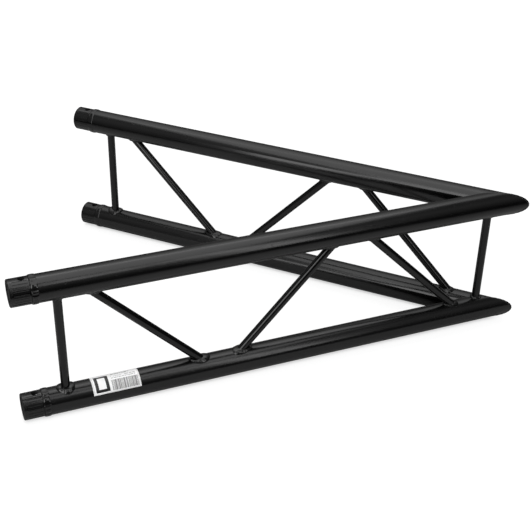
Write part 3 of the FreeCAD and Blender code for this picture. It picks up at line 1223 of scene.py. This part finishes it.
def dress(node: bpy.types.Object, material: bpy.types.Material) -> None:
    """Give a CAD node its finish.

    Args:
        node: the node's object.
        material: the finish.
    """
    if not node.data.materials:
        node.data.materials.append(material)
    for slot in node.material_slots:
        slot.material = material
    log.info("%s: dressed", node.name)


@dataclass
class Corner:
    """The corner: its post with two welds, and the welds along the two mitres."""

    ladder: LadderFrame
    post_inset: float = 12.0 * MM
    tube_radius: float = TUBE_RADIUS
    seam_radius: float = 2.0 * MM
    seam_crown: float = 0.5 * MM
    ripples: int = 120
    lumps: int = 34
    ripple_depth: float = 0.22 * MM
    lump_depth: float = 0.25 * MM
    seam_sides: int = 20
    seam_steps: int = 480

    def aside(self, spot: Vector) -> float:
        """Measure how far a point is from the axis of the nearer main tube, seen from above."""
        half = self.ladder.half_angle
        return spot.x * math.sin(half) + abs(spot.y) * math.cos(half)

    def build(self) -> None:
        """Make and dress every piece of the corner."""
        low, high = self.ladder.heights[Level.BOTTOM], self.ladder.heights[Level.TOP]
        foot, head = Vector((-self.post_inset, 0, low)), Vector((-self.post_inset, 0, high))
        matrix = Matrix.Translation(self.ladder.corner)
        post = Brace("corner_post", foot, head, matrix, aside=self.aside)
        thin_coat, over_weld = brace_coat("corner"), weld_coat("corner")
        post.make_tube(thin_coat)
        for level in (Level.BOTTOM, Level.TOP):
            post.make_weld(level, over_weld)
            self.make_seam(level, over_weld)

    def make_seam(self, level: Level, coat: bpy.types.Material) -> bpy.types.Object:
        """Make the weld along one mitre: a bead on the ellipse where the two main tubes meet.

        Args:
            level: which pair of main tubes.
            coat: its finish.

        Returns:
            The piece.
        """
        outwards = self.seam_crown - self.seam_radius
        long = self.tube_radius / math.sin(self.ladder.half_angle) + outwards
        short = self.tube_radius + outwards
        phase = 1.0 if level is Level.TOP else 0.0
        shape = BeadShape(
            ripples=self.ripples, lumps=self.lumps, ripple_depth=self.ripple_depth,
            lump_depth=self.lump_depth, phase=phase,
        )
        mesh = bead_ring(self.seam_sides, self.seam_steps, Axis.Y)
        for vert in mesh.verts:
            turn = math.atan2(vert.co.z, vert.co.x)
            out = math.hypot(vert.co.x, vert.co.z) - BEAD_RING
            spine = Vector((long * math.cos(turn), 0.0, short * math.sin(turn)))
            normal = Vector((math.cos(turn) / long, 0.0, math.sin(turn) / short)).normalized()
            radius = self.seam_radius - shape.dip(turn, vert.co.y)
            vert.co = spine + normal * (out * radius) + Vector((0, vert.co.y * radius, 0))
        place = self.ladder.corner + Vector((0, 0, self.ladder.heights[level]))
        bmesh.ops.transform(mesh, matrix=Matrix.Translation(place), verts=mesh.verts)
        node = f"{level.value}_corner_weld"
        return finish_piece(mesh, f"{node}_bead", coat, [node], sharp=WELD_SHARP)


@dataclass
class DataLabel:
    """The sticker that wraps over the top of the front bottom tube."""

    ladder: LadderFrame
    inset: float = 125.0 * MM
    length: float = 88.0 * MM
    tube_radius: float = TUBE_RADIUS
    gap: float = 0.02 * MM
    thickness: float = 0.18 * MM
    outer_angle: float = math.radians(72)
    inner_angle: float = math.radians(65)

    def build(self) -> bpy.types.Object:
        """Make and dress the sticker.

        Returns:
            The piece.
        """
        mesh = bmesh.new()
        bmesh.ops.create_grid(mesh, x_segments=24, y_segments=48, size=0.5)
        layer = mesh.loops.layers.uv.new("print")
        for face in mesh.faces:
            for loop in face.loops:
                loop[layer].uv = (0.5 - loop.vert.co.x, 0.5 - loop.vert.co.y)
        sheet = mesh.verts[:] + mesh.edges[:] + mesh.faces[:]
        bmesh.ops.solidify(mesh, geom=sheet, thickness=0.1)
        start = self.ladder.length - self.inset - self.length
        wrap = self.inner_angle + self.outer_angle
        for vert in mesh.verts:
            printed = abs(vert.co.z) < 0.05
            angle = wrap * (vert.co.y + 0.5) - self.inner_angle
            radius = self.tube_radius + self.gap + (self.thickness if printed else 0.0)
            vert.co = Vector((
                start + self.length * (vert.co.x + 0.5),
                radius * math.sin(angle),
                self.ladder.heights[Level.BOTTOM] + radius * math.cos(angle),
            ))
        bmesh.ops.transform(mesh, matrix=self.ladder.matrix, verts=mesh.verts)
        return finish_piece(
            mesh, "data_label_sheet", LabelPrint().build(), ["data_label"]
        )


# --------------------------------------------------------------------------------------------------
# Studio
# --------------------------------------------------------------------------------------------------


@dataclass(frozen=True)
class Softbox:
    """A rectangular studio light."""

    name: str
    centre: tuple[float, float, float]
    aim: tuple[float, float, float]
    width: float
    depth: float
    radiance: float

    def build(self) -> None:
        """Hang the light."""
        data = bpy.data.lights.new(self.name, "AREA")
        data.shape = "RECTANGLE"
        data.size = self.width
        data.size_y = self.depth
        data.energy = self.radiance * math.pi * self.width * self.depth
        lamp = bpy.data.objects.new(self.name, data)
        direction = Vector(self.aim) - Vector(self.centre)
        turn = direction.to_track_quat("-Z", "Y").to_matrix().to_4x4()
        lamp.matrix_world = Matrix.Translation(self.centre) @ turn
        bpy.context.scene.collection.objects.link(lamp)


@dataclass
class Studio:
    """White seamless ground, a wide softbox overhead, side lights and a dim room round them."""

    eye: Vector = field(default_factory=lambda: Vector((-0.0357, -1.8132, 1.2298)))
    azimuth: float = math.radians(0.10)
    elevation: float = math.radians(31.62)
    roll: float = math.radians(1.42)
    lens: float = 71.64
    ground_half: float = 8.0
    ground_core: float = 0.5
    ground_reach: float = 1.9
    # Ground colour near the part and far from it: a painted falloff of light, which darkens the
    # ground far away where only reflections show it.
    ground_painted_light: tuple[float, float] = (0.56, 0.06)
    ground_seen: tuple[float, float, float, float] = (0.27, 0.27, 0.27, 1.0)
    # Painted glow that only the lens sees, near and far, then the painted contact shadow: how far
    # it reaches and how dark it gets.
    ground_glow: tuple[float, float] = (0.84, 1.0)
    contact_reach: float = 6.5 * MM
    contact_shade: float = 0.68
    room_strength: float = 2.0
    backdrop_strength: float = 1.1
    softboxes: tuple[Softbox, ...] = (
        Softbox("overhead", (-0.11, 0.1, 2.5), (-0.11, 0.1, 0.0), 2.58, 2.4, 1.65),
        Softbox("left_front", (-0.72, -1.40, 1.55), (0.22, 0.08, 1.55), 0.70, 2.9, 3.2),
        Softbox("right_front", (1.15, -1.40, 1.80), (0.0, -0.20, 1.80), 0.30, 2.3, 3.2),
        Softbox("right_near", (0.50, -1.45, 2.20), (-0.3, -0.30, 2.20), 0.36, 1.4, 2.3),
    )
    back_wall: tuple[tuple[float, float], ...] = (
        (0.0, 0.04), (0.14, 0.08), (0.28, 0.15), (0.41, 0.27), (0.53, 0.48),
        (0.64, 0.80), (0.74, 1.15), (0.84, 1.45), (0.91, 0.15),
    )
    left_room: tuple[tuple[float, float], ...] = (
        (0.0, 0.15), (0.28, 0.22), (0.53, 0.32), (0.74, 0.38), (0.9, 0.10),
    )
    right_room: tuple[tuple[float, float], ...] = (
        (0.0, 0.03), (0.14, 0.05), (0.28, 0.10), (0.53, 0.22), (0.74, 0.32), (0.9, 0.10),
    )

    def build(self) -> None:
        """Set up ground, lights, surroundings and camera."""
        self.make_floor()
        for softbox in self.softboxes:
            softbox.build()
        self.make_surroundings()
        self.make_camera()
        bpy.context.scene.view_settings.view_transform = "Standard"
        log.info("studio: %d softboxes", len(self.softboxes))

    def make_floor(self) -> None:
        """Lay the white ground, darkened far away by a painted falloff of light, where only
        reflections show it.
        """
        mesh = bmesh.new()
        bmesh.ops.create_grid(mesh, x_segments=1, y_segments=1, size=self.ground_half)
        data = bpy.data.meshes.new("ground")
        mesh.to_mesh(data)
        mesh.free()
        data.materials.append(self.ground_material())
        floor = bpy.data.objects.new("ground", data)
        bpy.context.scene.collection.objects.link(floor)

    def ground_material(self) -> bpy.types.Material:
        """Make the ground's finish: to the lens a painted glow keeps it near white, with painted
        shade at the contacts; in reflections its colour carries a painted falloff of light.

        Returns:
            The material.
        """
        material = bpy.data.materials.new("ground_painted_light")
        material.use_nodes = True
        nodes = Nodes(material.node_tree)
        distance = nodes.add("ShaderNodeVectorMath", operation="LENGTH")
        nodes.feed(distance.inputs[0], nodes.add("ShaderNodeTexCoord").outputs["Object"])
        away = distance.outputs["Value"]
        seen = nodes.add("ShaderNodeLightPath").outputs["Is Camera Ray"]
        # Painted falloff of light: the ground's colour darkens with distance from the part.
        white = nodes.remap(away, self.ground_core, self.ground_reach, *self.ground_painted_light)
        diffuse = nodes.add("ShaderNodeBsdfDiffuse")
        nodes.feed(diffuse.inputs["Color"], nodes.mix(seen, white, self.ground_seen))
        # Painted contact shadow: occlusion close to the part dims the glow that the lens sees.
        touching = nodes.add("ShaderNodeAmbientOcclusion", samples=8)
        nodes.feed(touching.inputs["Distance"], self.contact_reach)
        shade = nodes.remap(touching.outputs["AO"], 0.0, 1.0, self.contact_shade, 1.0)
        # Painted glow for the lens, a little weaker near the part.
        lift = nodes.remap(away, self.ground_core, self.ground_reach, *self.ground_glow)
        glow = nodes.add("ShaderNodeEmission")
        nodes.feed(glow.inputs["Strength"], nodes.chain("MULTIPLY", seen, lift, shade))
        both = nodes.add("ShaderNodeAddShader")
        nodes.feed(both.inputs[0], diffuse.outputs[0])
        nodes.feed(both.inputs[1], glow.outputs[0])
        target = nodes.add("ShaderNodeOutputMaterial")
        nodes.feed(target.inputs["Surface"], both.outputs[0])
        return material

    def make_surroundings(self) -> None:
        """Light the world: a white wall behind, a dim room in front, plain white for the lens."""
        world = bpy.data.worlds.new("studio")
        world.use_nodes = True
        bpy.context.scene.world = world
        nodes = Nodes(world.node_tree)
        target = nodes.add("ShaderNodeOutputWorld")
        split = nodes.add("ShaderNodeSeparateXYZ")
        nodes.feed(split.inputs[0], nodes.add("ShaderNodeTexCoord").outputs["Generated"])
        rightward = nodes.math("MULTIPLY", nodes.math("MAXIMUM", split.outputs["X"], 0.0), 0.75)
        backward = nodes.math("SUBTRACT", split.outputs["Y"], rightward)
        back = nodes.remap(backward, 0.02, 0.42, 0.0, 1.0)
        left = nodes.remap(split.outputs["X"], 0.1, -0.6, 0.0, 1.0)
        walls = [
            self.wall(nodes, split.outputs["Z"], stops)
            for stops in (self.right_room, self.left_room, self.back_wall)
        ]
        front = nodes.mix(left, walls[0], walls[1])
        room = nodes.add("ShaderNodeBackground")
        nodes.feed(room.inputs["Color"], nodes.mix(back, front, walls[2]))
        room.inputs["Strength"].default_value = self.room_strength
        white = nodes.add("ShaderNodeBackground")
        white.inputs["Color"].default_value = (1.0, 1.0, 1.0, 1.0)
        white.inputs["Strength"].default_value = self.backdrop_strength
        seen = nodes.add("ShaderNodeLightPath").outputs["Is Camera Ray"]
        both = nodes.add("ShaderNodeMixShader")
        nodes.feed(both.inputs[0], seen)
        nodes.feed(both.inputs[1], room.outputs[0])
        nodes.feed(both.inputs[2], white.outputs[0])
        nodes.feed(target.inputs["Surface"], both.outputs[0])

    @staticmethod
    def wall(
        nodes: Nodes, height: bpy.types.NodeSocket, stops: tuple[tuple[float, float], ...],
    ) -> bpy.types.NodeSocket:
        """Grade one side of the room by height.

        Args:
            nodes: the world's nodes.
            height: upward part of the direction.
            stops: pairs of height and brightness.

        Returns:
            Half of the brightness, as a colour.
        """
        ramp = nodes.add("ShaderNodeValToRGB")
        elements = ramp.color_ramp.elements
        while len(elements) < len(stops):
            elements.new(0.5)
        for element, (place, level) in zip(elements, stops):
            element.position = place
            element.color = (level / 2, level / 2, level / 2, 1.0)
        nodes.feed(ramp.inputs[0], height)
        return ramp.outputs["Color"]

    def make_camera(self) -> None:
        """Place the camera."""
        data = bpy.data.cameras.new("camera")
        data.lens = self.lens
        data.sensor_width = 36.0
        data.clip_end = 50.0
        camera = bpy.data.objects.new("camera", data)
        level, drop = math.cos(self.elevation), math.sin(self.elevation)
        forward = Vector((
            -math.sin(self.azimuth) * level, math.cos(self.azimuth) * level, -drop
        ))
        right = forward.cross(Vector((0, 0, 1))).normalized()
        up = right.cross(forward)
        turned_right = right * math.cos(self.roll) + up * math.sin(self.roll)
        turned_up = up * math.cos(self.roll) - right * math.sin(self.roll)
        basis = Matrix((turned_right, turned_up, -forward)).transposed()
        camera.matrix_world = Matrix.Translation(self.eye) @ basis.to_4x4()
        bpy.context.scene.collection.objects.link(camera)
        bpy.context.scene.camera = camera


# --------------------------------------------------------------------------------------------------
# The whole
# --------------------------------------------------------------------------------------------------


def main() -> None:
    """Build the truss corner and its studio."""
    logging.basicConfig(level=logging.INFO, format="%(name)s %(message)s")
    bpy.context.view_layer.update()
    front = LadderFrame(Side.FRONT)
    rear = LadderFrame(Side.REAR)
    Studio().build()
    Ladder(front).build()
    Ladder(rear).build()
    Corner(front).build()
    DataLabel(front).build()


if __name__ == "__main__":
    main()
